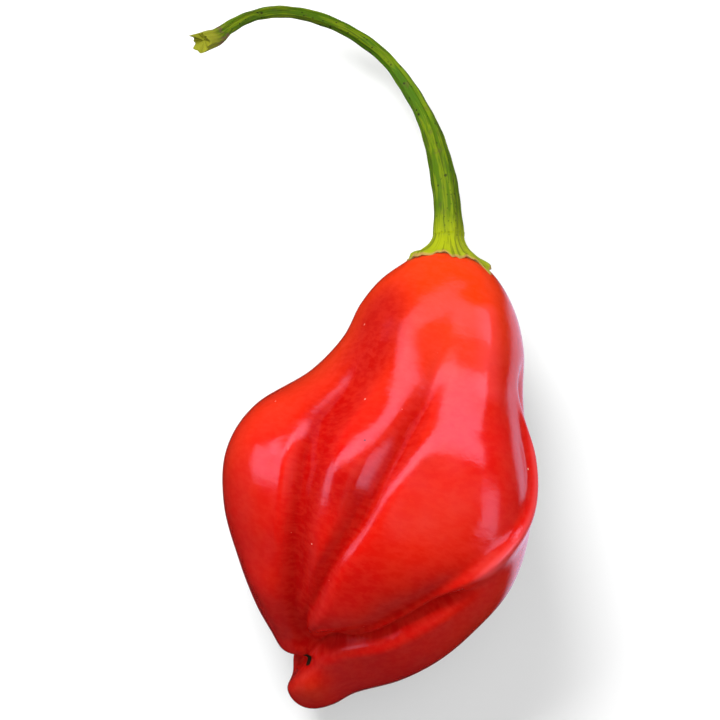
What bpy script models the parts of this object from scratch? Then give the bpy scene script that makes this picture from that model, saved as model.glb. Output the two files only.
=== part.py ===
"""A ripe lantern-shaped chilli pepper, lying on its side as picked.

It is three pieces that grew together: the pod, the calyx that caps its shoulder, and the stem.
+Z is up from the table, +Y runs from the blossom end towards the stem, and the origin is on the
table, under the middle of the whole pepper. The pod is laid out along its own axis, in
millimetres from the shoulder to the nose, and is then turned into place.
"""

import math

import bmesh
import bpy
import numpy as np
from mathutils import Matrix, Vector
from mathutils.bvhtree import BVHTree

MM = 0.001

# Where the pod lies.
POD_LENGTH = 56.5
POD_LEAN = math.radians(-17)
POD_PLACE = (10.34, 12.73, 0.0)
SHOULDER_POINT = (1.5, 17.0)
NOSE_POINT = (-0.5, 7.4)
REST_FLAT = 0.5
SQUARENESS = 2.3

# The pod's sections, each at a distance from the shoulder: how far the skin reaches to the left
# and right of the axis, and the heights of its underside and its top above the table.
SECTIONS = (
    (1.5, -3.3, 6.2, 10.4, 20.8),
    (3.0, -4.7, 8.0, 7.9, 22.0),
    (6.0, -6.9, 10.4, 5.3, 23.5),
    (9.0, -8.1, 11.9, 3.7, 24.4),
    (13.5, -9.0, 13.2, 2.4, 26.0),
    (18.0, -11.3, 14.9, 1.2, 28.0),
    (24.0, -16.4, 17.4, 0.3, 30.6),
    (30.0, -18.0, 18.7, 0.0, 31.6),
    (36.0, -16.6, 18.4, 0.0, 30.8),
    (42.0, -12.9, 15.8, 0.2, 27.4),
    (46.5, -9.4, 12.9, 0.6, 23.2),
    (50.0, -5.9, 9.4, 1.2, 17.5),
    (53.0, -3.6, 4.8, 2.4, 13.5),
    (55.0, -3.1, 2.8, 3.8, 11.2),
)

# Folds of the skin. Each follows a path of (distance from the shoulder, degrees round the
# section from its right side over the top), and sinks or stands out by a depth over a width.
VALLEYS = {
    "left valley": (
        ((9, 138), (16, 134), (21, 127), (26, 121), (32, 119), (38, 121), (44, 126), (50, 134)),
        1.5,
        (3.6, 1.7),
    ),
    "front crease": (
        ((5, 92), (12, 88), (18, 87), (23, 87), (28, 90), (33, 94), (37, 100), (41, 107), (45, 115), (50, 130)),
        1.3,
        (2.8, 1.2),
    ),
    "side fold": (((35, 33), (38, 43), (41, 51), (44, 61), (47, 76), (50.5, 118)), 2.3, (1.6, 1.6)),
    "neck notch": (((9, 16), (13, 12), (17, 6), (22, -2), (27, -6)), 0.6, (1.6, 1.4)),
    "blossom notch": (((50.5, 100), (51.9, 136), (52.2, 165), (52.0, 190), (51.0, 215)), 2.3, (1.2, 1.2)),
    "under left": (((9, 220), (20, 224), (32, 226), (43, 222), (50, 208)), 1.6, (2.4, 1.6)),
    "under right": (((9, 322), (20, 316), (32, 312), (43, 304), (50, 282)), 1.6, (2.4, 1.6)),
}
RIDGES = {
    "front lobe edge": (
        ((13, 26), (17, 20), (21, 16), (25, 19), (29, 29), (33, 39), (37, 48), (41, 58), (44, 68), (49, 106)),
        0.9,
        (1.5, 1.1),
    ),
    "middle lobe": (
        ((3, 106), (9, 106), (16, 107), (22, 106), (27, 105), (33, 107), (39, 112), (45, 119)),
        0.5,
        (2.4, 2.2),
    ),
    "neck rib": (((3, 62), (8, 60), (14, 56), (20, 54)), 0.5, (2.6, 4.0)),
}
# Swellings: distance from the shoulder, degrees round, height, and radius.
SWELLINGS = (
    (22, 52, 1.1, 7.0),
    (24, 108, 0.9, 5.0),
    (29, 38, 0.9, 6.0),
    (28, 150, 1.0, 6.0),
    (44, 146, 0.5, 3.5),
    (9, 50, 0.4, 5.0),
    (53.6, 104, 0.6, 2.4),
)

POD_AROUND = 72
POD_ALONG = 60

# The calyx: a thin ragged cap on the shoulder, with a collar that the stem grows from.
CALYX_SEAT = (10.2, 12.4, 15.2)
CALYX_AXIS = (0.0, 0.955, -0.29)
CALYX_RADIUS = 4.9
CALYX_RAGGED = 0.3
CALYX_TEETH = 5
CALYX_EDGE = 0.45
COLLAR_RADIUS = 1.75
COLLAR_HEIGHT = 2.3
TOUCHING_GAP = 0.3
CALYX_AROUND = 40
CALYX_RINGS = 9

# The stem's middle line from the collar to the torn end, and its thickness along it.
STEM_LINE = (
    (10.17, 15.63, 14.25),
    (10.03, 18.66, 13.10),
    (9.45, 22.41, 11.30),
    (8.16, 27.21, 8.60),
    (5.66, 32.04, 6.00),
    (2.63, 35.93, 4.70),
    (-1.31, 38.74, 5.30),
    (-6.05, 40.55, 7.80),
    (-9.55, 40.94, 10.60),
    (-13.02, 40.17, 14.30),
    (-15.37, 38.73, 17.70),
    (-17.32, 37.32, 20.60),
    (-18.78, 37.15, 22.20),
)
STEM_RADII = (1.62, 1.48, 1.42, 1.12, 0.9, 0.76, 0.72, 0.7, 0.68, 0.66, 0.7, 1.1, 1.0)
STEM_AROUND = 14
STEM_RINGS = 52

POD_RED = (0.62, 0.012, 0.004, 1)
CALYX_GREEN = (0.30, 0.36, 0.02, 1)
STEM_GREEN = (0.11, 0.23, 0.015, 1)


def smooth_through(knots, values, where):
    """Values on a smooth curve through the knots: cubic pieces whose slopes follow their neighbours."""
    knots, values, where = (np.asarray(x, float) for x in (knots, values, where))
    slopes = np.gradient(values, knots)
    i = np.clip(np.searchsorted(knots, where) - 1, 0, len(knots) - 2)
    span = knots[i + 1] - knots[i]
    s = (where - knots[i]) / span
    return (
        (2 * s**3 - 3 * s**2 + 1) * values[i]
        + (s**3 - 2 * s**2 + s) * span * slopes[i]
        + (3 * s**2 - 2 * s**3) * values[i + 1]
        + (s**3 - s**2) * span * slopes[i + 1]
    )


def share_of(distance):
    """A distance from the shoulder as a share, spaced so that both ends of the pod close round."""
    return np.arccos(1 - 2 * np.asarray(distance, float) / POD_LENGTH) / math.pi


def bare_skin(distance, angle):
    """Points of the pod's skin before its folds, at distances from the shoulder and angles round it."""
    ends = (0.0, SHOULDER_POINT[0], SHOULDER_POINT[0], SHOULDER_POINT[1], SHOULDER_POINT[1])
    tip = (POD_LENGTH, NOSE_POINT[0], NOSE_POINT[0], NOSE_POINT[1], NOSE_POINT[1])
    rows = np.array((ends, *SECTIONS, tip))
    share = share_of(np.clip(distance, 0, POD_LENGTH))
    left, right, under, top = (smooth_through(share_of(rows[:, 0]), rows[:, k], share) for k in (1, 2, 3, 4))
    bulge = (1 - np.abs(np.cos(angle)) ** SQUARENESS) ** (1 / SQUARENESS) * np.sign(np.sin(angle))
    return np.stack(
        (
            (left + right) / 2 + (right - left) / 2 * np.cos(angle),
            -np.asarray(distance, float) + 0 * angle,
            (under + top) / 2 + (top - under) / 2 * bulge,
        ),
        axis=-1,
    )


def line_on_skin(path, steps=90):
    """A fold's path as points on the bare skin."""
    path = np.array(path, float)
    at = np.linspace(0, len(path) - 1, steps)
    knots = np.arange(len(path))
    distance = smooth_through(knots, path[:, 0], at)
    angle = np.radians(smooth_through(knots, path[:, 1], at))
    return bare_skin(distance, angle)


def fold(points, path, depth, widths):
    """How far a fold moves each point: its depth on the path, fading over its width and at its upper end."""
    line = line_on_skin(path)
    apart = np.linalg.norm(points[:, None] - line[None], axis=2)
    nearest = apart.argmin(axis=1)
    share = nearest / (len(line) - 1)
    width = widths[0] + (widths[1] - widths[0]) * share
    fade = np.clip(share / 0.35, 0, 1)
    return depth * fade * fade * (3 - 2 * fade) * np.exp(-((apart.min(axis=1) / width) ** 2))


def pod_points():
    """The pod's rings of skin from shoulder to nose, folded and swollen."""
    share = np.arange(POD_ALONG + 1) / POD_ALONG
    distance = POD_LENGTH * (1 - np.cos(math.pi * share)) / 2
    angle = 2 * math.pi * np.arange(POD_AROUND) / POD_AROUND
    skin = bare_skin(*np.meshgrid(distance, angle, indexing="ij"))
    along = np.gradient(skin, axis=0)
    around = np.roll(skin, -1, axis=1) - np.roll(skin, 1, axis=1)
    outwards = np.cross(around, along)
    outwards[[0, -1]] = ((0, 1, 0),), ((0, -1, 0),)
    outwards /= np.linalg.norm(outwards, axis=2, keepdims=True)
    points = skin.reshape(-1, 3)
    valleys = sum(fold(points, *shape) ** 3 for shape in VALLEYS.values()) ** (1 / 3)
    ridges = sum(fold(points, *shape) for shape in RIDGES.values())
    swell = 0
    for distance_at, degrees, height, radius in SWELLINGS:
        centre = bare_skin(np.array(distance_at), np.radians(degrees))
        swell += height * np.exp(-((np.linalg.norm(points - centre, axis=1) / radius) ** 2))
    moved = points + (ridges + swell - valleys)[:, None] * outwards.reshape(-1, 3)
    return moved.reshape(skin.shape)


def material(name, colour, roughness):
    made = bpy.data.materials.new(name)
    made.use_nodes = True
    shader = made.node_tree.nodes["Principled BSDF"]
    shader.inputs["Base Color"].default_value = colour
    shader.inputs["Roughness"].default_value = roughness
    shader.inputs["Metallic"].default_value = 0.0
    return made


def add_object(name, mesh, surface):
    made = bpy.data.objects.new(name, mesh)
    bpy.context.collection.objects.link(made)
    mesh.materials.append(surface)
    mesh.shade_smooth()
    return made


def mesh_of_rings(name, rings, closed_tips):
    """A closed mesh through rings of points. With closed tips the first and last ring are one point each."""
    shape = bmesh.new()
    loops = []
    for number, ring in enumerate(rings):
        tip = closed_tips and number in (0, len(rings) - 1)
        loops.append([shape.verts.new(p) for p in (ring[:1] if tip else ring)])
    for upper, lower in zip(loops, loops[1:]):
        count = max(len(upper), len(lower))
        for i in range(count):
            j = (i + 1) % count
            corners = [upper[i % len(upper)], lower[i % len(lower)], lower[j % len(lower)], upper[j % len(upper)]]
            shape.faces.new(list(dict.fromkeys(corners)))
    if not closed_tips:
        shape.faces.new(loops[0])
        shape.faces.new(loops[-1][::-1])
    bmesh.ops.recalc_face_normals(shape, faces=shape.faces)
    mesh = bpy.data.meshes.new(name)
    shape.to_mesh(mesh)
    shape.free()
    return mesh


def make_pod():
    """The fleshy pod. Where its weight rests, the skin is pressed flat against the table."""
    points = pod_points()
    turn = np.array(Matrix.Rotation(POD_LEAN, 3, "Z"))
    points = points @ turn.T + np.array(POD_PLACE)
    lowest = points[..., 2].min()
    points[..., 2] = np.maximum(points[..., 2] - lowest - REST_FLAT, 0)
    return add_object("pod", mesh_of_rings("pod", points * MM, True), material("pod_skin", POD_RED, 0.3))


def calyx_frame():
    """The calyx's middle on the shoulder, its axis, and two directions across it."""
    axis = Vector(CALYX_AXIS).normalized()
    across = axis.cross(Vector((0, 0, 1))).normalized()
    return Vector(CALYX_SEAT), axis, across, across.cross(axis)


def make_calyx(pod):
    """The green cap. Its underside follows the pod's shoulder, and its rim is ragged."""
    seat, axis, across, upward = calyx_frame()
    pod.data.calc_loop_triangles()
    skin = BVHTree.FromPolygons(
        [v.co / MM for v in pod.data.vertices], [t.vertices for t in pod.data.loop_triangles]
    )
    under, over = [], []
    for ring in range(CALYX_RINGS):
        share = ring / (CALYX_RINGS - 1)
        lower, upper = [], []
        for i in range(CALYX_AROUND):
            angle = 2 * math.pi * i / CALYX_AROUND
            rim = CALYX_RADIUS + CALYX_RAGGED * (
                math.cos(CALYX_TEETH * angle) + 0.6 * math.sin(3 * angle + 1) + 0.4 * math.cos(11 * angle)
            )
            radius = COLLAR_RADIUS + (rim - COLLAR_RADIUS) * share
            spoke = across * math.cos(angle) + upward * math.sin(angle)
            start = seat + spoke * radius + axis * 10
            touch = skin.ray_cast(start, -axis)[0]
            base = touch + axis * TOUCHING_GAP
            rise = CALYX_EDGE + (COLLAR_HEIGHT - CALYX_EDGE) * (1 - share) ** 3
            lower.append(base * MM)
            upper.append((base + axis * rise) * MM)
        under.append(lower)
        over.append(upper)
    rings = [*under, *reversed(over)]
    return add_object("calyx", mesh_of_rings("calyx", rings, False), material("calyx_skin", CALYX_GREEN, 0.55))


def make_stem():
    """The stem: a tapering stalk that dips towards the table, arches over and lifts to its torn end."""
    line = np.array(STEM_LINE)
    knots = np.arange(len(line))
    at = np.linspace(0, len(line) - 1, STEM_RINGS)
    centres = np.stack([smooth_through(knots, line[:, k], at) for k in range(3)], axis=1)
    radii = smooth_through(knots, STEM_RADII, at)
    tangents = np.gradient(centres, axis=0)
    rings = []
    side = Vector((1, 0, 0))
    for centre, tangent, radius in zip(centres, tangents, radii):
        forward = Vector(tangent).normalized()
        side = (side - forward * side.dot(forward)).normalized()
        lift = forward.cross(side)
        ring = []
        for i in range(STEM_AROUND):
            angle = 2 * math.pi * i / STEM_AROUND
            ring.append((Vector(centre) + (side * math.cos(angle) + lift * math.sin(angle)) * radius) * MM)
        rings.append(ring)
    return add_object("stem", mesh_of_rings("stem", rings, False), material("stem_skin", STEM_GREEN, 0.5))


def stand_on_origin(pieces):
    """Move the whole pepper so that the origin is on the table under the middle of it."""
    corners = np.array([v.co for piece in pieces for v in piece.data.vertices])
    low, high = corners.min(axis=0), corners.max(axis=0)
    shift = Vector((-(low[0] + high[0]) / 2, -(low[1] + high[1]) / 2, -low[2]))
    for piece in pieces:
        piece.data.transform(Matrix.Translation(shift))


def main():
    for old in list(bpy.data.objects):
        bpy.data.objects.remove(old)
    pod = make_pod()
    stand_on_origin((pod, make_calyx(pod), make_stem()))


main()
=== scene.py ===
"""A ripe lantern-shaped chilli pepper lying on its side on a pale table.

The pod, the calyx and the stem are one piece each. All of them are laid out in millimetres in the
shared frame: +Z is up from the table and +Y runs from the pod's nose towards the stem.
"""

import math

import bpy
import numpy as np
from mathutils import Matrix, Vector
from mathutils.bvhtree import BVHTree


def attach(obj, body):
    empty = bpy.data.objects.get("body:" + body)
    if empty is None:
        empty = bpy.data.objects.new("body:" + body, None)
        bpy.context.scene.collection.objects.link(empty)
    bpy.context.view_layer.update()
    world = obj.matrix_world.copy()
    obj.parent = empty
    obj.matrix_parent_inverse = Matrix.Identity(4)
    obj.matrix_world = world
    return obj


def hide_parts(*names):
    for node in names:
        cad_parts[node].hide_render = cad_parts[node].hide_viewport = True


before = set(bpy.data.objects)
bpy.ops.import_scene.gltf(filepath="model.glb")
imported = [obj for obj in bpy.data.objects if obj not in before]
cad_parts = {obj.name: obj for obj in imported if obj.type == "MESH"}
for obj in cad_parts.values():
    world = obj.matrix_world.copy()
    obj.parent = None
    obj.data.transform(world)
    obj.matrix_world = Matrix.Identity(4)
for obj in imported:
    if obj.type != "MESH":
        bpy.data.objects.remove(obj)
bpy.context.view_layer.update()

bl_info = {
    "name": "Chilli Pepper",
    "version": (1, 0, 0),
    "blender": (4, 5, 0),
    "location": "View3D > Sidebar > Pepper",
    "description": "Grows a lantern-shaped chilli pepper with its calyx and stem, and lights it",
    "category": "Add Mesh",
}

MM = 0.001

# The pod's sections, each at a distance from the shoulder: how far the skin reaches to the left
# and right of the axis, and the heights of its underside and its top above the table.
SECTIONS = (
    (1.5, -3.3, 6.2, 10.4, 20.8),
    (3.0, -4.7, 8.0, 7.9, 22.0),
    (6.0, -6.9, 10.4, 5.3, 23.5),
    (9.0, -8.1, 11.9, 3.7, 24.6),
    (13.5, -9.0, 13.2, 2.4, 26.0),
    (18.0, -11.3, 14.9, 1.2, 28.0),
    (24.0, -16.4, 17.4, 0.3, 30.6),
    (30.0, -18.0, 18.7, 0.0, 31.6),
    (36.0, -16.6, 18.4, 0.0, 30.8),
    (42.0, -12.9, 15.8, 0.2, 27.4),
    (46.5, -9.4, 12.9, 0.6, 23.2),
    (50.0, -5.9, 9.4, 1.2, 17.5),
    (53.0, -3.6, 4.8, 2.4, 13.5),
    (55.0, -3.1, 2.8, 3.8, 11.2),
)
SHOULDER_POINT = (1.5, 17.0)
NOSE_POINT = (-0.5, 7.4)
POD_PLACE = (10.14, 12.7, -0.47)

# Folds of the skin. Each follows a path of (distance from the shoulder, degrees round the section
# from its right side over the top). It has a depth, its widths on the two sides of the path at its
# upper and lower ends, how sharp it is, and the share of its path over which it fades in and out.
VALLEYS = {
    "left valley": (
        ((9, 138), (16, 134), (21, 127), (26, 121), (32, 119), (38, 121), (44, 126), (50, 134)),
        1.8,
        ((5.0, 1.8), (2.2, 1.6)),
        2.0,
        (0.35, 0.0),
    ),
    "front crease": (
        (
            (5, 92), (12, 88), (18, 87), (23, 87), (28, 90),
            (33, 94), (37, 100), (41, 107), (45, 115), (50, 130),
        ),
        1.5,
        ((1.6, 2.6), (1.0, 1.2)),
        1.7,
        (0.3, 0.0),
    ),
    "side fold": (
        ((35, 33), (38, 43), (41, 51), (44, 61), (47, 76), (50.5, 118)),
        3.0,
        ((0.9, 3.0), (0.8, 2.6)),
        1.5,
        (0.4, 0.0),
    ),
    "neck notch": (
        ((9, 16), (13, 12), (17, 6), (22, -2), (27, -6)),
        0.7,
        ((1.6, 1.6), (1.4, 1.4)),
        2.0,
        (0.3, 0.4),
    ),
    "blossom notch": (
        ((50.5, 100), (51.9, 136), (52.2, 165), (52.0, 190), (51.0, 215)),
        2.3,
        ((1.1, 1.1), (1.2, 1.2)),
        1.6,
        (0.25, 0.3),
    ),
    "under left": (
        ((9, 220), (20, 224), (32, 226), (43, 222), (50, 208)),
        2.0,
        ((3.0, 3.0), (1.5, 1.5)),
        1.5,
        (0.3, 0.0),
    ),
    "under right": (
        ((9, 322), (20, 316), (32, 312), (43, 304), (50, 282)),
        2.0,
        ((3.0, 3.0), (1.5, 1.5)),
        1.5,
        (0.3, 0.0),
    ),
}
RIDGES = {
    "front lobe edge": (
        (
            (13, 26), (17, 20), (21, 16), (25, 19), (29, 29), (33, 39),
            (37, 48.5), (41, 58), (44, 68), (47, 84), (49.5, 108),
        ),
        1.1,
        ((2.2, 1.0), (1.6, 0.55)),
        1.6,
        (0.2, 0.1),
    ),
    "middle lobe": (
        ((3, 106), (9, 106), (16, 107), (22, 106), (27, 105), (33, 107), (39, 112), (45, 119)),
        0.45,
        ((2.6, 2.6), (3.2, 2.4)),
        3.0,
        (0.15, 0.3),
    ),
    "middle lobe rim": (
        ((24, 90), (29, 92), (34, 96), (39, 104), (43.5, 113), (47, 118), (49, 121)),
        0.26,
        ((0.5, 0.45), (0.45, 0.4)),
        2.0,
        (0.3, 0.1),
    ),
    "valley rib": (
        ((20, 128), (27, 127), (33, 126), (39, 128), (45, 131)),
        0.35,
        ((1.0, 1.0), (0.8, 0.8)),
        2.0,
        (0.3, 0.3),
    ),
    "neck rib": (
        ((3, 62), (8, 60), (14, 56), (20, 54)),
        0.7,
        ((2.6, 2.6), (4.0, 4.0)),
        2.0,
        (0.2, 0.3),
    ),
}
# Swellings: distance from the shoulder, degrees round, height, and radius.
SWELLINGS = (
    (22, 52, 1.1, 7.0),
    (27.5, 107, 1.1, 6.0),
    (29, 38, 0.9, 6.0),
    (28, 150, 1.0, 6.0),
    (44, 146, 0.5, 3.5),
    (9, 50, 0.4, 5.0),
    (53.6, 104, 0.6, 2.4),
)
# Orange spots of the skin, the last one a painted highlight that brightens the nose: distance from the
# shoulder, degrees round, strength, and radius.
BLUSHES_AND_NOSE_HIGHLIGHT = (
    (16, 172, 0.8, 7.0),
    (27, 178, 0.7, 8.0),
    (31, 66, 0.3, 6.0),
    (40, 8, 0.5, 6.0),
    # Painted highlight: a pale orange spot that brightens the nose.
    (54, 100, 0.25, 2.6),
)
# Dark red patches of painted shade, given in the same way.
PAINTED_SHADE_PATCHES = (
    (9, 138, 0.9, 4.5),
    (15, 132, 0.9, 4.5),
    (30, 103, 0.8, 4.0),
    (24, 82, 0.5, 3.5),
    (42, 70, 0.5, 6.0),
    (22, 128, 0.5, 4.0),
)
# How square the pod's sections are: 2 is an ellipse.
SQUARENESS = 2.3
# Points on the smooth line that a fold follows.
FOLD_POINTS = 90
# The blossom scar's distance from the shoulder, and its degrees round the section.
SCAR_PLACE = (52.0, 132.0)
# The round grain's shape: how far it reaches round the middle, and its squeeze across the pod.
GRAIN_REACH = 16
GRAIN_SQUEEZE = 0.55

# The stem's middle line from the shoulder to the torn end, and its thickness along it.
STEM_LINE = (
    (10.01, 12.38, 15.20),
    (9.97, 15.35, 14.30),
    (9.83, 18.62, 13.10),
    (9.25, 22.37, 11.30),
    (7.96, 27.17, 8.60),
    (5.46, 32.00, 6.00),
    (2.43, 35.89, 4.70),
    (-1.51, 38.70, 5.30),
    (-6.25, 40.51, 7.80),
    (-9.75, 40.84, 10.60),
    (-13.22, 40.07, 14.30),
    (-15.57, 38.69, 17.70),
    (-17.32, 37.32, 20.40),
    (-18.78, 36.96, 22.00),
)
STEM_RADII = (1.9, 1.7, 1.5, 1.42, 1.12, 0.9, 0.76, 0.72, 0.7, 0.68, 0.66, 0.72, 1.05, 1.15)
# Where the stem starts on its line, inside the calyx.
STEM_BEGIN = 1.6
# The way the calyx faces, and how far out along it the calyx starts before it is laid on the skin.
CALYX_AXIS = (0.0, 0.955, -0.29)
CALYX_DROP = 8
# The calyx's profile from pole to pole: the underside, the rim, the flare, and the end inside the
# stem. Each row has a share of the way, a share of the radius, and a height above the skin.
CALYX_PROFILE = (
    (0.0, 0.0, -0.3),
    (0.20, 0.70, -0.15),
    (0.28, 0.97, -0.02),
    (0.31, 1.0, 0.08),
    (0.34, 0.985, 0.24),
    (0.45, 0.86, 0.36),
    (0.58, 0.66, 0.55),
    (0.68, 0.49, 1.0),
    (0.76, 0.40, 1.6),
    (0.84, 0.362, 2.2),
    (0.92, 0.345, 3.0),
    (1.0, 0.0, 3.2),
)
# Towards the stem, the ragged outline of the calyx turns into a round one of this radius.
FLARE_RADIUS = 4.75
# Shares of the stem's ball, pole to pole, at which its foot ends and its torn end begins.
STEM_FOOT, STEM_TIP = 0.02, 0.965
# Teeth of the torn end: the angle round the stem, the length, and the spread in radians.
TORN_TEETH = ((-0.75, 1.3, 0.34), (2.9, 0.6, 0.3), (-2.3, 0.5, 0.28), (0.6, 0.25, 0.3))

# Painted highlight: the pale pink laid on the raised ridges of the skin.
PAINTED_RIDGE_HIGHLIGHT = (0.88, 0.09, 0.10, 1)
MOTTLE_ORANGE = (0.95, 0.08, 0.04, 1)
DUST_PINK = (0.95, 0.42, 0.30, 1)
FLECK_RED = (0.10, 0.004, 0.003, 1)
FIBRE_GREEN = (0.035, 0.06, 0.004, 1)
BLOTCH_BROWN = (0.10, 0.085, 0.02, 1)
BRUISE_BROWN = (0.15, 0.075, 0.05, 1)
WHITE = (1, 1, 1, 1)
SHEET_LILAC = (0.86, 0.72, 1.0, 1)
GLOSS_TINT = (0.80, 0.68, 1.0)
# In the gloss, the table is a bright sheet round a place beside the pod, in metres.
SHEET_MIDDLE = (0.027, -0.010, 0.0)
SHEET_BRIGHT_TO, SHEET_DARK_FROM = 0.018, 0.025
# The camera looks straight down from here, in metres, through a long lens, in millimetres.
CAMERA_PLACE = (-0.000314, -0.000152, 0.952)
CAMERA_LENS = 400


def colour_setting(name, description, default):
    return bpy.props.FloatVectorProperty(
        name=name, description=description, default=default, size=4, min=0, max=1, subtype="COLOR"
    )


def power_setting(name, description, default):
    return bpy.props.FloatProperty(
        name=name, description=description, default=default, min=0, unit="POWER"
    )


class PepperPodSettings(bpy.types.PropertyGroup):
    """Sizes and colours of the pod."""

    length: bpy.props.FloatProperty(
        name="Length",
        description="Length of the pod from its shoulder to its nose",
        default=0.0565,
        min=0.02,
        max=0.12,
        unit="LENGTH",
    )
    lean: bpy.props.FloatProperty(
        name="Lean",
        description="Turn of the pod on the table, away from the stem's line",
        default=math.radians(-17),
        unit="ROTATION",
    )
    fold_strength: bpy.props.FloatProperty(
        name="Fold strength",
        description="How deep the folds between the lobes are",
        default=1.0,
        min=0,
        max=1.5,
        subtype="FACTOR",
    )
    around: bpy.props.IntProperty(
        name="Faces around",
        description="Faces round the pod",
        default=320,
        min=48,
        max=320,
    )
    along: bpy.props.IntProperty(
        name="Faces along",
        description="Faces from shoulder to nose",
        default=300,
        min=48,
        max=300,
    )
    shoulder_colour: colour_setting("Shoulder", "Orange of the skin by the stem", (0.76, 0.040, 0.003, 1))
    body_colour: colour_setting("Body", "Red of the skin round the middle", (0.68, 0.005, 0.002, 1))
    nose_colour: colour_setting("Nose", "Deep red towards the nose", (0.52, 0.003, 0.002, 1))
    # The fold colour is painted shade, laid into the folds and into the patches of painted shade.
    fold_colour: colour_setting("Folds", "Darkest red, down in the folds", (0.40, 0.0015, 0.0015, 1))
    scar_colour: colour_setting("Scar", "Dried remains of the blossom", (0.018, 0.010, 0.006, 1))
    gloss: bpy.props.FloatProperty(
        name="Gloss",
        description="Strength of the waxy coat",
        default=0.12,
        min=0,
        max=1,
        subtype="FACTOR",
    )


class PepperStalkSettings(bpy.types.PropertyGroup):
    """Sizes and colours of the calyx and the stem."""

    calyx_radius: bpy.props.FloatProperty(
        name="Calyx radius",
        description="From the stem's middle to the calyx's rim",
        default=0.0047,
        min=0.003,
        max=0.008,
        unit="LENGTH",
    )
    rib_depth: bpy.props.FloatProperty(
        name="Rib depth",
        description="How far the stem's ribs stand out",
        default=0.00009,
        min=0,
        max=0.0004,
        unit="LENGTH",
    )
    base_colour: colour_setting("Base", "Yellow-green of the calyx", (0.33, 0.38, 0.003, 1))
    middle_colour: colour_setting("Middle", "Green of the stem", (0.07, 0.14, 0.001, 1))
    far_colour: colour_setting("Far part", "Dull green of the thin part of the stem", (0.05, 0.13, 0.002, 1))
    rim_colour: colour_setting("Dry rim", "Pale brown of dried edges", (0.42, 0.24, 0.07, 1))
    torn_colour: colour_setting("Torn end", "Pale green of the torn end", (0.24, 0.25, 0.015, 1))
    fleck_colour: colour_setting("Flecks", "Dark brown flecks", (0.018, 0.016, 0.006, 1))


class PepperStageSettings(bpy.types.PropertyGroup):
    """The table and the light."""

    floor_colour: colour_setting("Table", "Colour of the pale table", (0.9, 0.9, 0.9, 1))
    sky_power: power_setting("Sky", "Power of the soft light from the upper left", 3.9)
    overhead_power: power_setting("Overhead", "Power of the wide light overhead", 1.6)
    window_power: power_setting("Window", "Power of the wide window in the gloss", 5.4)
    card_power: power_setting("Cards", "Power of the low side cards in the gloss", 0.5)
    sheet_glow: bpy.props.FloatProperty(
        name="Table glow",
        description="Brightness of the table in the pepper's gloss",
        default=1.0,
        min=0,
        max=2,
    )
    ambient: bpy.props.FloatProperty(
        name="Ambient",
        description="Brightness of the room's own light",
        default=0.2,
        min=0,
        max=2,
    )


# Shapes


def smooth_through(knots, values, where):
    """Values on a smooth curve through the knots: cubic pieces whose slopes follow their neighbours."""
    knots, values, where = (np.asarray(x, float) for x in (knots, values, where))
    slopes = np.gradient(values, knots)
    i = np.clip(np.searchsorted(knots, where) - 1, 0, len(knots) - 2)
    span = knots[i + 1] - knots[i]
    s = (where - knots[i]) / span
    return (
        (2 * s**3 - 3 * s**2 + 1) * values[i]
        + (s**3 - 2 * s**2 + s) * span * slopes[i]
        + (3 * s**2 - 2 * s**3) * values[i + 1]
        + (s**3 - s**2) * span * slopes[i + 1]
    )


def smooth_step(low, high, value):
    s = np.clip((value - low) / (high - low), 0, 1)
    return s * s * (3 - 2 * s)


def unit_vectors(vectors):
    return vectors / np.maximum(np.linalg.norm(vectors, axis=-1, keepdims=True), 1e-12)


def bare_skin(distance, angle, length):
    """Points of the pod's skin before its folds, at distances from the shoulder and angles round it."""
    distance = np.clip(np.asarray(distance, float), 0, length)
    ends = (0.0, SHOULDER_POINT[0], SHOULDER_POINT[0], SHOULDER_POINT[1], SHOULDER_POINT[1])
    tip = (length, NOSE_POINT[0], NOSE_POINT[0], NOSE_POINT[1], NOSE_POINT[1])
    rows = np.array((ends, *SECTIONS, tip))
    knots = np.arccos(1 - 2 * rows[:, 0] / length)
    where = np.arccos(1 - 2 * distance / length)
    left, right, under, top = (smooth_through(knots, rows[:, k], where) for k in (1, 2, 3, 4))
    bulge = (1 - np.abs(np.cos(angle)) ** SQUARENESS) ** (1 / SQUARENESS) * np.sign(np.sin(angle))
    return np.stack(
        (
            (left + right) / 2 + (right - left) / 2 * np.cos(angle),
            -distance + 0 * angle,
            (under + top) / 2 + (top - under) / 2 * bulge,
        ),
        axis=-1,
    )


def skin_normals(distance, angle, length):
    """Directions out of the bare skin."""
    step = 0.02
    along = bare_skin(distance + step, angle, length) - bare_skin(distance - step, angle, length)
    around = bare_skin(distance, angle + step, length) - bare_skin(distance, angle - step, length)
    out = unit_vectors(np.cross(around, along))
    out[distance < 1e-4] = (0, 1, 0)
    out[distance > length - 1e-4] = (0, -1, 0)
    return out


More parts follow.
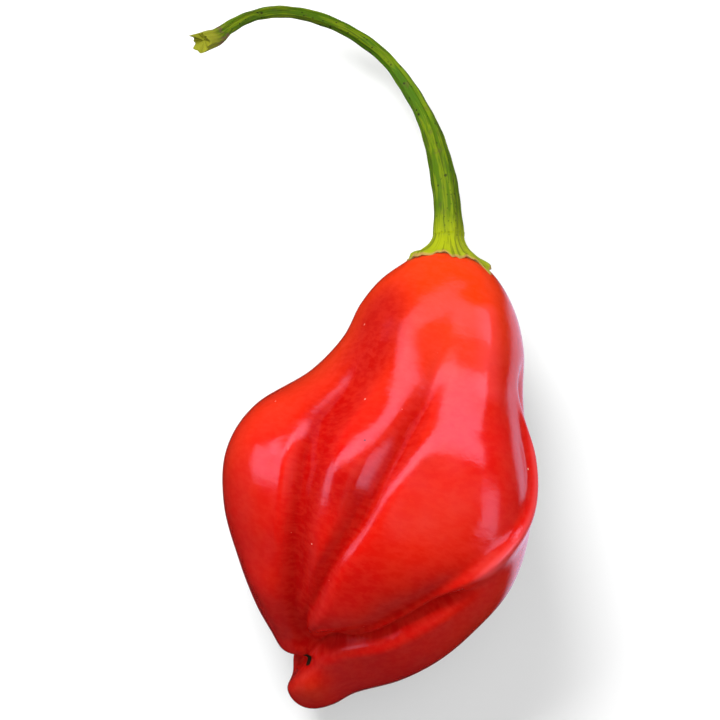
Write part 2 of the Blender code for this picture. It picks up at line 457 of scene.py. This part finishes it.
def fold(points, normals, length, path, depth, widths, sharpness, fades):
    """How far a fold moves each point."""
    path = np.array(path, float)
    at = np.linspace(0, len(path) - 1, FOLD_POINTS)
    knots = np.arange(len(path))
    line = bare_skin(
        smooth_through(knots, path[:, 0], at), np.radians(smooth_through(knots, path[:, 1], at)), length
    )
    square = (points**2).sum(axis=1)[:, None] + (line**2).sum(axis=1)[None] - 2 * points @ line.T
    nearest = square.argmin(axis=1)
    best = np.full(len(points), np.inf)
    share = np.zeros(len(points))
    away = np.zeros_like(points)
    ahead = np.zeros_like(points)
    last = FOLD_POINTS - 2
    for first in (np.clip(nearest - 1, 0, last), np.clip(nearest, 0, last)):
        run = line[first + 1] - line[first]
        t = np.clip(((points - line[first]) * run).sum(axis=1) / (run**2).sum(axis=1), 0, 1)
        gap = points - line[first] - run * t[:, None]
        far = np.linalg.norm(gap, axis=1)
        closer = far < best
        best = np.where(closer, far, best)
        share = np.where(closer, (first + t) / (FOLD_POINTS - 1), share)
        away[closer] = gap[closer]
        ahead[closer] = run[closer]
    left = (np.cross(ahead, away) * normals).sum(axis=1) > 0
    width = np.where(
        left,
        widths[0][0] + (widths[1][0] - widths[0][0]) * share,
        widths[0][1] + (widths[1][1] - widths[0][1]) * share,
    )
    fade = smooth_step(0, fades[0], share) if fades[0] else 1.0
    if fades[1]:
        fade = fade * smooth_step(0, fades[1], 1 - share)
    return depth * fade * np.exp(-((best / width) ** sharpness))


def round_spots(points, spots, length):
    """The sum of soft round spots on the skin."""
    total = np.zeros(len(points))
    for distance, degrees, strength, radius in spots:
        centre = bare_skin(np.array(distance), np.radians(degrees), length)
        total += strength * np.exp(-((np.linalg.norm(points - centre, axis=1) / radius) ** 2))
    return total


def pod_surface(distance, angle, settings):
    """The folded skin at distances and angles.

    Returns its points, how deep in a fold each one is, and the strengths of its orange spots (the one at the
    nose a painted highlight) and of its patches of painted shade.
    """
    length = settings.length / MM
    points = bare_skin(distance, angle, length)
    normals = skin_normals(distance, angle, length)
    sunk = sum(fold(points, normals, length, *shape) ** 3 for shape in VALLEYS.values()) ** (1 / 3)
    raised = sum(fold(points, normals, length, *shape) for shape in RIDGES.values())
    swell = round_spots(points, SWELLINGS, length)
    sunk *= settings.fold_strength
    moved = points + (raised * settings.fold_strength + swell - sunk)[:, None] * normals
    turn = settings.lean
    placed = np.stack(
        (
            moved[:, 0] * math.cos(turn) - moved[:, 1] * math.sin(turn),
            moved[:, 0] * math.sin(turn) + moved[:, 1] * math.cos(turn),
            moved[:, 2],
        ),
        axis=1,
    ) + np.array(POD_PLACE)
    placed[:, 2] = np.maximum(placed[:, 2], 0)
    # Orange spots of the skin, the one at the nose a painted highlight.
    blush = round_spots(points, BLUSHES_AND_NOSE_HIGHLIGHT, length)
    # Patches of painted shade, where the skin turns to the dark fold colour.
    deeper = round_spots(points, PAINTED_SHADE_PATCHES, length)
    return placed, sunk - raised, blush, deeper


def bump_at(angle, where, spread):
    """A smooth bump of height 1 at an angle, fading over a spread of radians on both sides."""
    apart = np.angle(np.exp(1j * (angle - where)))
    return np.exp(-((apart / spread) ** 2))


def calyx_rim(angle, radius):
    """The calyx's radius round its rim: wavy and frayed, shorter on top, with one long tooth."""
    rim = radius + 0.1 + 0.20 * np.cos(5 * angle - 0.6) + 0.10 * np.cos(8 * angle + 1.0)
    rim += 0.06 * np.cos(17 * angle) + 0.05 * np.cos(29 * angle + 2)
    rim -= 1.3 * np.clip(np.sin(angle), 0, 1) ** 2
    return rim + 0.8 * bump_at(angle, 0.42, 0.11)


def stem_rings(count):
    """Centres, directions and thicknesses along the stem, with the distance from its foot."""
    line = np.array(STEM_LINE)
    knots = np.concatenate(([0], np.cumsum(np.linalg.norm(np.diff(line, axis=0), axis=1))))
    along = np.linspace(0, knots[-1], count)
    centres = np.stack([smooth_through(knots, line[:, k], along) for k in range(3)], axis=1)
    radii = smooth_through(knots, STEM_RADII, along)
    ahead = unit_vectors(np.gradient(centres, axis=0))
    side = np.array((1.0, 0.0, 0.0))
    sides = []
    for direction in ahead:
        side = side - direction * side.dot(direction)
        side = side / np.linalg.norm(side)
        sides.append(side)
    sides = np.array(sides)
    return centres, ahead, sides, np.cross(sides, ahead), radii, along


def rib(angle, along, depth):
    """How far the stem's ribs stand out at an angle round it."""
    twist = angle + 0.012 * along
    strong = np.exp(-np.maximum(along - 2, 0) / 14)
    return depth * (
        (0.6 + 1.0 * strong) * np.cos(5 * twist + 0.5)
        + 0.6 * np.cos(9 * twist + 1.7)
        + 0.35 * np.cos(14 * twist + 0.3)
    )


# Mesh helpers


def start_ball(name, segments, rings):
    """A unit ball, selected alone, as the start of a closed piece.

    Returns it with each vertex's share of the way from pole to pole, and its angle round the poles.
    """
    bpy.ops.object.select_all(action="DESELECT")
    bpy.ops.mesh.primitive_uv_sphere_add(segments=segments, ring_count=rings, radius=1)
    piece = bpy.context.object
    piece.name = name
    ball = np.empty(len(piece.data.vertices) * 3)
    piece.data.vertices.foreach_get("co", ball)
    ball = ball.reshape(-1, 3)
    share = np.arccos(np.clip(ball[:, 2], -1, 1)) / math.pi
    angle = np.arctan2(-ball[:, 1], ball[:, 0])
    angle[np.abs(ball[:, 2]) > 1 - 1e-9] = 0
    return piece, share, angle


def shape_piece(piece, points):
    """Move the piece's vertices to the points, in millimetres, and smooth its shading."""
    piece.data.vertices.foreach_set("co", (points * MM).ravel())
    piece.data.update()
    bpy.ops.object.shade_smooth()


def face_outward():
    """Turn the active piece's faces outward."""
    bpy.ops.object.mode_set(mode="EDIT")
    bpy.ops.mesh.select_all(action="SELECT")
    bpy.ops.mesh.normals_make_consistent(inside=False)
    bpy.ops.object.mode_set(mode="OBJECT")


def store(piece, name, kind, values):
    """Keep a value or a vector for each vertex, for the materials to read."""
    held = piece.data.attributes.new(name, kind, "POINT")
    member = "vector" if kind == "FLOAT_VECTOR" else "value"
    held.data.foreach_set(member, np.asarray(values, float).ravel())


# Materials


def set_inputs(tree, node, inputs):
    """Give a node its inputs, as values or as sockets to link from."""
    for key, value in inputs.items():
        if isinstance(value, bpy.types.NodeSocket):
            tree.links.new(value, node.inputs[key])
        else:
            node.inputs[key].default_value = value


def add_node(tree, kind, inputs=None, **options):
    """A node with its options set."""
    node = tree.nodes.new(kind)
    for key, value in options.items():
        setattr(node, key, value)
    set_inputs(tree, node, inputs or {})
    return node


def maths(tree, operation, first, second=0.0, third=0.0, clamp=False):
    inputs = {0: first, 1: second, 2: third}
    node = add_node(tree, "ShaderNodeMath", inputs, operation=operation, use_clamp=clamp)
    return node.outputs[0]


def blend(tree, share, first, second):
    """One colour turning into another by a share from 0 to 1."""
    node = add_node(tree, "ShaderNodeMix", {0: share, 6: first, 7: second}, data_type="RGBA")
    return node.outputs[2]


def ramp_between(tree, value, low, high):
    """A soft step from 0 at the low value to 1 at the high one."""
    inputs = {0: value, 1: low, 2: high}
    node = add_node(tree, "ShaderNodeMapRange", inputs, interpolation_type="SMOOTHSTEP")
    return node.outputs[0]


def noise(tree, vector, scale, detail=2.0, rough=0.5):
    inputs = {"Vector": vector, "Scale": scale, "Detail": detail, "Roughness": rough}
    return add_node(tree, "ShaderNodeTexNoise", inputs).outputs[0]


def attribute(tree, name, output="Fac"):
    return add_node(tree, "ShaderNodeAttribute", attribute_name=name).outputs[output]


def new_group(name, inputs, outputs):
    group = bpy.data.node_groups.new(name, "ShaderNodeTree")
    for label, kind in inputs:
        group.interface.new_socket(label, in_out="INPUT", socket_type=kind)
    for label, kind in outputs:
        group.interface.new_socket(label, in_out="OUTPUT", socket_type=kind)
    return group, add_node(group, "NodeGroupInput"), add_node(group, "NodeGroupOutput")


def fleck_group():
    """Sparse round flecks: one in some of the cells of a scattered pattern."""
    group = bpy.data.node_groups.get("scattered_flecks")
    if group:
        return group
    group, given, made = new_group(
        "scattered_flecks",
        (
            ("Vector", "NodeSocketVector"),
            ("Scale", "NodeSocketFloat"),
            ("Share of cells", "NodeSocketFloat"),
            ("Radius", "NodeSocketFloat"),
        ),
        (("Mask", "NodeSocketFloat"),),
    )
    inputs = {"Vector": given.outputs[0], "Scale": given.outputs[1]}
    cells = add_node(group, "ShaderNodeTexVoronoi", inputs, feature="F1")
    chance = add_node(group, "ShaderNodeSeparateColor", {0: cells.outputs["Color"]})
    chosen = maths(group, "LESS_THAN", chance.outputs[0], given.outputs[2])
    size = maths(group, "MULTIPLY", given.outputs[3], maths(group, "ADD", chance.outputs[1], 0.3))
    inner = maths(group, "MULTIPLY", size, 0.5)
    spot = ramp_between(group, cells.outputs["Distance"], size, inner)
    group.links.new(maths(group, "MULTIPLY", chosen, spot), made.inputs[0])
    return group


def bump_group():
    """Two sizes of unevenness in one height: soft waves and fine grain."""
    group = bpy.data.node_groups.get("uneven_skin")
    if group:
        return group
    group, given, made = new_group(
        "uneven_skin",
        (
            ("Vector", "NodeSocketVector"),
            ("Wave scale", "NodeSocketFloat"),
            ("Grain scale", "NodeSocketFloat"),
            ("Grain share", "NodeSocketFloat"),
        ),
        (("Height", "NodeSocketFloat"),),
    )
    wave = noise(group, given.outputs[0], given.outputs[1], 2.0)
    grain = noise(group, given.outputs[0], given.outputs[2], 3.0, 0.6)
    height = maths(group, "ADD", wave, maths(group, "MULTIPLY", grain, given.outputs[3]))
    group.links.new(height, made.inputs[0])
    return group


def use_group(tree, group, inputs):
    node = tree.nodes.new("ShaderNodeGroup")
    node.node_tree = group
    set_inputs(tree, node, inputs)
    return node.outputs[0]


def new_material(name):
    made = bpy.data.materials.new(name)
    made.use_nodes = True
    return made, made.node_tree, made.node_tree.nodes["Principled BSDF"]


def skin_colour(tree, settings, place, lengthwise, hollow):
    """The skin's reds: orange by the shoulder and deep red at the nose, with orange patches; painted shade
    darkens the folds and some dark red patches, and a painted pink highlight lies on the raised ridges and
    at the nose.
    """
    nose, body, shoulder, folds = (
        tuple(getattr(settings, part + "_colour")) for part in ("nose", "body", "shoulder", "fold")
    )
    colour = blend(tree, ramp_between(tree, lengthwise, -0.044, -0.020), nose, body)
    colour = blend(tree, ramp_between(tree, lengthwise, -0.012, 0.014), colour, shoulder)
    cloudy = maths(tree, "MULTIPLY", ramp_between(tree, noise(tree, place, 110, 1.0), 0.50, 0.72), 0.14)
    # Orange spots of the skin, the one at the nose a painted highlight.
    spots = maths(tree, "MULTIPLY", attribute(tree, "blush"), 0.8)
    colour = blend(tree, maths(tree, "ADD", cloudy, spots, clamp=True), colour, shoulder)
    # Painted shade: dark red patches where the skin lies in shade.
    deeper = ramp_between(tree, attribute(tree, "deeper"), 0.0, 1.0)
    colour = blend(tree, maths(tree, "MULTIPLY", deeper, 0.85), colour, folds)
    # Painted shade: the deeper a point lies in a fold, the more the skin turns to the dark fold colour.
    painted_fold_shade = ramp_between(tree, hollow, 0.1, 1.6)
    colour = blend(tree, maths(tree, "MULTIPLY", painted_fold_shade, 0.85), colour, folds)
    # Painted highlight: the raised ridges are tinted pale pink.
    ridge_highlight = ramp_between(tree, hollow, -0.45, -1.0)
    return blend(tree, maths(tree, "MULTIPLY", ridge_highlight, 0.6), colour, PAINTED_RIDGE_HIGHLIGHT)


def scar_mask(tree, place, scar_at):
    """1 inside the blossom scar's ragged edge, and 0 outside it."""
    middle = add_node(tree, "ShaderNodeCombineXYZ", {0: scar_at[0], 1: scar_at[1], 2: scar_at[2]})
    inputs = {0: place, 1: middle.outputs[0]}
    away = add_node(tree, "ShaderNodeVectorMath", inputs, operation="DISTANCE").outputs["Value"]
    ragged = maths(tree, "MULTIPLY_ADD", noise(tree, place, 1500, 3.0, 0.7), 0.0009, -0.00045)
    return ramp_between(tree, maths(tree, "ADD", away, ragged), 0.0011, 0.0008)


def roughen(tree, shader, height, distance):
    """Bump the surface by a height, at most by a distance in metres."""
    bumps = add_node(tree, "ShaderNodeBump", {"Strength": 1.0, "Distance": distance, "Height": height})
    tree.links.new(bumps.outputs[0], shader.inputs["Normal"])


def pod_material(settings, scar_at):
    """Waxy red skin with dust, flecks and the dried blossom scar, with painted shade in the folds and
    painted highlights on the ridges and the nose.
    """
    made, tree, shader = new_material("waxy_red_skin")
    place = add_node(tree, "ShaderNodeTexCoord").outputs["Object"]
    hollow = attribute(tree, "hollow")
    grain = attribute(tree, "round_skin", "Vector")
    towards_stem = add_node(tree, "ShaderNodeSeparateXYZ", {0: place}).outputs[1]
    wander = maths(tree, "MULTIPLY_ADD", noise(tree, place, 70, 2.0), 0.012, -0.006)
    lengthwise = maths(tree, "ADD", towards_stem, wander)

    colour = skin_colour(tree, settings, place, lengthwise, hollow)
    mottle = ramp_between(tree, noise(tree, grain, 1600, 3.0, 0.6), 0.35, 0.65)
    colour = blend(tree, maths(tree, "MULTIPLY", mottle, 0.10), colour, MOTTLE_ORANGE)
    dust = use_group(tree, fleck_group(), {0: place, 1: 480.0, 2: 0.22, 3: 0.075})
    lower = maths(tree, "MULTIPLY_ADD", ramp_between(tree, lengthwise, 0.004, -0.012), 0.8, 0.2)
    dust = maths(tree, "MULTIPLY", dust, lower)
    colour = blend(tree, dust, colour, DUST_PINK)
    flecks = use_group(tree, fleck_group(), {0: place, 1: 170.0, 2: 0.10, 3: 0.05})
    colour = blend(tree, flecks, colour, FLECK_RED)
    scar = scar_mask(tree, place, scar_at)
    colour = blend(tree, scar, colour, tuple(settings.scar_colour))
    tree.links.new(colour, shader.inputs["Base Color"])

    gloss_change = ramp_between(tree, noise(tree, place, 300, 3.0), 0.3, 0.7)
    rough = maths(tree, "MULTIPLY_ADD", gloss_change, 0.08, 0.14)
    dull = maths(tree, "MULTIPLY", maths(tree, "MAXIMUM", scar, dust), 0.5)
    tree.links.new(maths(tree, "ADD", rough, dull, clamp=True), shader.inputs["Roughness"])
    coated = maths(tree, "SUBTRACT", 1.0, scar)
    tree.links.new(maths(tree, "MULTIPLY", coated, settings.gloss), shader.inputs["Coat Weight"])
    shader.inputs["Coat Roughness"].default_value = 0.14
    waxier = ramp_between(tree, lengthwise, 0.008, -0.006)
    shine = maths(tree, "MULTIPLY_ADD", waxier, 0.45, 0.22)
    shine = maths(tree, "MULTIPLY", shine, ramp_between(tree, hollow, 1.2, 0.5))
    tree.links.new(shine, shader.inputs["Specular IOR Level"])
    shader.inputs["IOR"].default_value = 1.42
    shader.inputs["Subsurface Weight"].default_value = 0.06
    shader.inputs["Subsurface Radius"].default_value = (1.0, 0.25, 0.1)
    shader.inputs["Subsurface Scale"].default_value = 0.0015
    height = use_group(tree, bump_group(), {0: grain, 1: 320.0, 2: 2700.0, 3: 0.25})
    roughen(tree, shader, height, 0.00010)
    return made


def stalk_colour(tree, settings, straight, fibres, stem_length):
    """Yellow-green at the calyx, dull green and flecked further on, and pale where it is torn."""
    along = add_node(tree, "ShaderNodeSeparateXYZ", {0: straight}).outputs[2]
    base, middle, far, torn_green, fleck_brown, rim = (
        tuple(getattr(settings, part + "_colour"))
        for part in ("base", "middle", "far", "torn", "fleck", "rim")
    )
    colour = blend(tree, ramp_between(tree, along, 0.0003, 0.0058), base, middle)
    colour = blend(tree, ramp_between(tree, along, 0.012, 0.026), colour, far)
    bend = maths(tree, "MULTIPLY", ramp_between(tree, along, 0.029, 0.034), 0.75)
    colour = blend(tree, bend, colour, middle)

    streak = ramp_between(tree, noise(tree, fibres, 2600, 3.0, 0.6), 0.45, 0.60)
    colour = blend(tree, maths(tree, "MULTIPLY", streak, 0.30), colour, base)
    dark = ramp_between(tree, noise(tree, fibres, 3600, 3.0, 0.6), 0.52, 0.66)
    colour = blend(tree, maths(tree, "MULTIPLY", dark, 0.6), colour, FIBRE_GREEN)
    further = ramp_between(tree, along, -0.006, 0.016)
    blotch = ramp_between(tree, noise(tree, straight, 750, 4.0, 0.7), 0.56, 0.68)
    blotch = maths(tree, "MULTIPLY", maths(tree, "MULTIPLY", blotch, further), 0.55)
    colour = blend(tree, blotch, colour, BLOTCH_BROWN)
    for size in (1100.0, 2300.0):
        flecks = use_group(tree, fleck_group(), {0: straight, 1: size, 2: 0.30, 3: 0.33})
        colour = blend(tree, maths(tree, "MULTIPLY", flecks, further), colour, fleck_brown)

    near_end = ramp_between(tree, along, stem_length - 0.0045, stem_length - 0.0035)
    bruise = ramp_between(tree, noise(tree, straight, 500, 3.0, 0.6), 0.46, 0.56)
    colour = blend(tree, maths(tree, "MULTIPLY", near_end, bruise), colour, BRUISE_BROWN)
    torn = ramp_between(tree, along, stem_length - 0.0030, stem_length - 0.0012)
    colour = blend(tree, torn, colour, torn_green)
    return blend(tree, attribute(tree, "dry_edge"), colour, rim)


def stalk_material(settings):
    """Ribbed green stalk, for the calyx and the stem."""
    made, tree, shader = new_material("ribbed_green_stalk")
    straight = attribute(tree, "straight", "Vector")
    inputs = {0: straight, 1: (1.0, 1.0, 0.06)}
    fibres = add_node(tree, "ShaderNodeVectorMath", inputs, operation="MULTIPLY").outputs[0]
    stem_length = stem_rings(8)[-1][-1] * MM
    colour = stalk_colour(tree, settings, straight, fibres, stem_length)
    tree.links.new(colour, shader.inputs["Base Color"])
    rough = maths(tree, "MULTIPLY_ADD", noise(tree, straight, 800, 2.0), 0.2, 0.36)
    tree.links.new(rough, shader.inputs["Roughness"])
    shader.inputs["IOR"].default_value = 1.42
    shader.inputs["Specular IOR Level"].default_value = 0.12
    height = use_group(tree, bump_group(), {0: fibres, 1: 1700.0, 2: 4200.0, 3: 0.5})
    roughen(tree, shader, height, 0.00012)
    return made


def table_material(settings):
    """Pale and plain. In the pepper's gloss the table is bright only close to the pod, like a lit sheet."""
    made, tree, shader = new_material("pale_table")
    shader.inputs["Base Color"].default_value = tuple(settings.floor_colour)
    shader.inputs["Roughness"].default_value = 0.9
    shader.inputs["Specular IOR Level"].default_value = 0.1
    shader.inputs["Emission Color"].default_value = WHITE
    shader.inputs["Emission Strength"].default_value = 0.08
    inputs = {0: add_node(tree, "ShaderNodeTexCoord").outputs["Object"], 1: SHEET_MIDDLE}
    away = add_node(tree, "ShaderNodeVectorMath", inputs, operation="DISTANCE").outputs["Value"]
    near = ramp_between(tree, away, SHEET_DARK_FROM, SHEET_BRIGHT_TO)
    sheet = add_node(tree, "ShaderNodeEmission", {0: SHEET_LILAC})
    glow = maths(tree, "MULTIPLY_ADD", near, settings.sheet_glow, 0.01)
    tree.links.new(glow, sheet.inputs["Strength"])
    in_gloss = add_node(tree, "ShaderNodeLightPath").outputs["Is Glossy Ray"]
    inputs = {0: in_gloss, 1: shader.outputs[0], 2: sheet.outputs[0]}
    both = add_node(tree, "ShaderNodeMixShader", inputs)
    tree.links.new(both.outputs[0], tree.nodes["Material Output"].inputs["Surface"])
    return made


def pale_room(settings):
    """White to the camera, dim as light, and almost dark in the gloss."""
    world = bpy.data.worlds.new("pale_room")
    world.use_nodes = True
    tree = world.node_tree
    rays = add_node(tree, "ShaderNodeLightPath")
    ambient = settings.ambient
    lit = maths(tree, "MULTIPLY_ADD", rays.outputs["Is Glossy Ray"], -0.95 * ambient, ambient)
    strength = maths(tree, "MAXIMUM", rays.outputs["Is Camera Ray"], lit)
    tree.nodes["Background"].inputs["Color"].default_value = WHITE
    tree.links.new(strength, tree.nodes["Background"].inputs["Strength"])
    return world


# Operators


class PEPPER_OT_pod(bpy.types.Operator):
    """Swell a ball into the lobed pod, fold its skin and coat it with wax"""

    bl_idname = "pepper.pod"
    bl_label = "Pod"

    def execute(self, context):
        settings = context.scene.pepper_pod
        piece, share, angle = start_ball("pod_skin", settings.around, settings.along)
        length = settings.length / MM
        distance = length * (1 - np.cos(math.pi * share)) / 2
        points, hollow, blush, deeper = pod_surface(distance, angle, settings)
        shape_piece(piece, points)
        store(piece, "hollow", "FLOAT", hollow)
        # The strengths of the orange spots, the one at the nose a painted highlight, for the skin's colour.
        store(piece, "blush", "FLOAT", blush)
        # The strengths of the patches of painted shade, for the skin's colour.
        store(piece, "deeper", "FLOAT", deeper)
        reach = np.sin(math.pi * share) * GRAIN_REACH * GRAIN_SQUEEZE
        around = np.stack((reach * np.cos(angle), reach * np.sin(angle), distance), axis=1)
        store(piece, "round_skin", "FLOAT_VECTOR", around * MM)
        scar_distance, scar_degrees = SCAR_PLACE
        scar = pod_surface(np.array([scar_distance]), np.radians([scar_degrees]), settings)[0]
        piece.data.materials.append(pod_material(settings, scar[0] * MM))
        piece.visible_diffuse = False
        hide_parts("pod")
        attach(piece, "root")
        return {"FINISHED"}


class PEPPER_OT_calyx(bpy.types.Operator):
    """Drape the small ragged calyx over the pod's shoulder and draw it up into the stem"""

    bl_idname = "pepper.calyx"
    bl_label = "Calyx"

    def execute(self, context):
        settings = context.scene.pepper_stalk
        pod = bpy.data.objects.get("pod_skin")
        if pod is None:
            raise RuntimeError("make the pod before the calyx")
        skin = BVHTree.FromPolygons(
            [v.co / MM for v in pod.data.vertices], [p.vertices for p in pod.data.polygons]
        )
        piece, share, angle = start_ball("calyx_cap", 144, 64)
        seat = np.array(STEM_LINE[0])
        axis = unit_vectors(np.array(CALYX_AXIS))
        side = np.array((1.0, 0.0, 0.0))
        lift = np.cross(side, axis)
        rim = calyx_rim(angle, settings.calyx_radius / MM)
        stations, spread, raised = np.array(CALYX_PROFILE).T
        width = rim + (FLARE_RADIUS - rim) * smooth_step(0.40, 0.72, share)
        reach = smooth_through(stations, spread, share).clip(0, 1.0) * width
        height = smooth_through(stations, raised, share)
        upper = share > 0.33
        ribs = rib(angle, np.maximum(height, 0), settings.rib_depth / MM)
        narrow = smooth_step(5.0, 2.0, reach)
        reach = np.where(upper, reach + ribs * narrow, reach)
        height = height + np.where(upper, 1.1 * ribs * (1 - narrow), 0)
        height += 0.16 * (1 + np.cos(7 * angle + 0.8)) * smooth_step(0.7, 1.0, reach / rim)
        height += 0.07 * np.cos(19 * angle) * smooth_step(0.85, 1.0, reach / rim)
        points = np.empty((len(share), 3))
        for k in range(len(share)):
            spoke = side * math.cos(angle[k]) + lift * math.sin(angle[k])
            start = seat + spoke * reach[k] + axis * CALYX_DROP
            touch = skin.ray_cast(Vector(start), Vector(-axis))[0]
            if touch is None:
                raise RuntimeError("the calyx reaches past the pod's shoulder")
            points[k] = np.array(touch) + axis * height[k]
        shape_piece(piece, points)
        straight = np.stack((1.6 * np.cos(angle), 1.6 * np.sin(angle), height), axis=1)
        store(piece, "straight", "FLOAT_VECTOR", straight * MM)
        store(piece, "dry_edge", "FLOAT", smooth_step(0.37, 0.325, share) * 0.9)
        face_outward()
        piece.data.materials.append(stalk_material(settings))
        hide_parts("calyx")
        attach(piece, "root")
        return {"FINISHED"}


class PEPPER_OT_stem(bpy.types.Operator):
    """Draw a ribbed stalk along the stem's line and leave its far end torn"""

    bl_idname = "pepper.stem"
    bl_label = "Stem"

    def execute(self, context):
        settings = context.scene.pepper_stalk
        piece, share, angle = start_ball("stem_stalk", 72, 420)
        centres, ahead, sides, lifts, radii, along = stem_rings(400)
        # The foot sinks inside the calyx, and the far end closes in a ragged hollow.
        place = np.clip((share - STEM_FOOT) / (STEM_TIP - STEM_FOOT), 0, 1)
        begin = STEM_BEGIN / along[-1]
        run = (begin + (1 - begin) * place) * (len(along) - 1)
        low = np.clip(run.astype(int), 0, len(along) - 2)
        part = (run - low)[:, None]
        centre = centres[low] * (1 - part) + centres[low + 1] * part
        side = unit_vectors(sides[low] * (1 - part) + sides[low + 1] * part)
        lift = unit_vectors(lifts[low] * (1 - part) + lifts[low + 1] * part)
        direction = unit_vectors(ahead[low] * (1 - part) + ahead[low + 1] * part)
        radius = np.interp(run, np.arange(len(along)), radii)
        distance = np.interp(run, np.arange(len(along)), along)
        wobble = 0.03 * np.sin(distance * 0.9) + 0.02 * np.sin(distance * 2.1 + 1)
        reach = radius + rib(angle, distance, settings.rib_depth / MM) + wobble
        reach = reach - 0.5 * smooth_step(2.1, 1.5, distance)
        closing = np.clip((share - STEM_TIP) / (1 - STEM_TIP), 0, 1)
        reach = reach * np.where(share < STEM_FOOT, share / STEM_FOOT, 1) * (1 - closing)
        jag = 0.12 * np.cos(5 * angle + 1) + 0.10 * np.cos(9 * angle)
        for where, size, spread in TORN_TEETH:
            jag += size * bump_at(angle, where, spread)
        end = smooth_step(STEM_TIP - 0.03, STEM_TIP, share) * (1 - closing)
        reach += 0.25 * end * np.cos(angle - 2.9)
        push = jag * end - 0.45 * np.sin(closing * math.pi / 2)
        spoke = side * np.cos(angle)[:, None] + lift * np.sin(angle)[:, None]
        shape_piece(piece, centre + spoke * reach[:, None] + direction * push[:, None])
        straight = np.stack((reach * np.cos(angle), reach * np.sin(angle), distance + closing), axis=1)
        store(piece, "straight", "FLOAT_VECTOR", straight * MM)
        store(piece, "dry_edge", "FLOAT", np.zeros(len(share)))
        face_outward()
        cap = bpy.data.objects.get("calyx_cap")
        if cap is None:
            raise RuntimeError("make the calyx before the stem")
        piece.data.materials.append(cap.data.materials[0])
        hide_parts("stem")
        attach(piece, "root")
        return {"FINISHED"}


class PEPPER_OT_stage(bpy.types.Operator):
    """Lay the pale table, hang the soft lights and set the camera above"""

    bl_idname = "pepper.stage"
    bl_label = "Table, light and camera"

    def execute(self, context):
        settings = context.scene.pepper_stage
        bpy.ops.object.select_all(action="DESELECT")
        bpy.ops.mesh.primitive_plane_add(size=3, location=(0, 0, 0))
        table = context.object
        table.name = "table_top"
        table.data.materials.append(table_material(settings))

        white = WHITE[:3]
        for name, place, size, power, colour, only_gloss in (
            ("sky", (-0.19, 0.35, 0.46), (0.36, 0.26), settings.sky_power, white, False),
            ("overhead", (0.14, 0.02, 0.5), (0.5, 0.5), settings.overhead_power, white, False),
            ("window", (0.0, 0.43, 0.41), (1.8, 0.3), settings.window_power, GLOSS_TINT, True),
            ("left_card", (-0.5, 0.08, 0.16), (0.3, 0.22), settings.card_power, GLOSS_TINT, True),
            ("right_card", (0.46, -0.10, 0.24), (0.3, 0.24), settings.card_power, GLOSS_TINT, True),
        ):
            self.hang_light(name, place, size, power, colour, only_gloss)
        context.scene.world = pale_room(settings)

        bpy.ops.object.camera_add(location=CAMERA_PLACE, rotation=(0, 0, 0))
        camera = context.object
        camera.name = "overhead_camera"
        camera.data.lens = CAMERA_LENS
        camera.data.sensor_width = 36
        context.scene.camera = camera
        context.scene.view_settings.view_transform = "Standard"
        return {"FINISHED"}

    def hang_light(self, name, place, size, power, colour, only_gloss):
        """A soft light that either lights the scene or only shows in the gloss."""
        bpy.ops.object.light_add(type="AREA", location=place)
        light = bpy.context.object
        light.name = name
        light.data.shape = "RECTANGLE"
        light.data.size, light.data.size_y = size
        light.data.energy = power
        light.data.color = colour
        light.visible_camera = False
        light.visible_glossy = only_gloss
        light.visible_diffuse = not only_gloss
        aim = Vector((0, 0, 0.015)) - Vector(place)
        light.rotation_euler = aim.to_track_quat("-Z", "Y").to_euler()


class PEPPER_PT_pieces(bpy.types.Panel):
    """Lists the pepper's pieces and their settings"""

    bl_label = "Chilli Pepper"
    bl_idname = "PEPPER_PT_pieces"
    bl_space_type = "VIEW_3D"
    bl_region_type = "UI"
    bl_category = "Pepper"

    def draw(self, context):
        groups = (
            (context.scene.pepper_pod, ("pepper.pod",)),
            (context.scene.pepper_stalk, ("pepper.calyx", "pepper.stem")),
            (context.scene.pepper_stage, ("pepper.stage",)),
        )
        for settings, operators in groups:
            box = self.layout.box()
            for name in operators:
                box.operator(name)
            for prop in settings.bl_rna.properties:
                if prop.identifier not in ("rna_type", "name"):
                    box.prop(settings, prop.identifier)


CLASSES = (
    PepperPodSettings,
    PepperStalkSettings,
    PepperStageSettings,
    PEPPER_OT_pod,
    PEPPER_OT_calyx,
    PEPPER_OT_stem,
    PEPPER_OT_stage,
    PEPPER_PT_pieces,
)


def register():
    for entry in CLASSES:
        bpy.utils.register_class(entry)
    bpy.types.Scene.pepper_pod = bpy.props.PointerProperty(type=PepperPodSettings)
    bpy.types.Scene.pepper_stalk = bpy.props.PointerProperty(type=PepperStalkSettings)
    bpy.types.Scene.pepper_stage = bpy.props.PointerProperty(type=PepperStageSettings)


def unregister():
    del bpy.types.Scene.pepper_stage
    del bpy.types.Scene.pepper_stalk
    del bpy.types.Scene.pepper_pod
    for entry in reversed(CLASSES):
        bpy.utils.unregister_class(entry)


def main():
    register()
    bpy.ops.pepper.pod()
    bpy.ops.pepper.calyx()
    bpy.ops.pepper.stem()
    bpy.ops.pepper.stage()


if __name__ == "__main__":
    main()
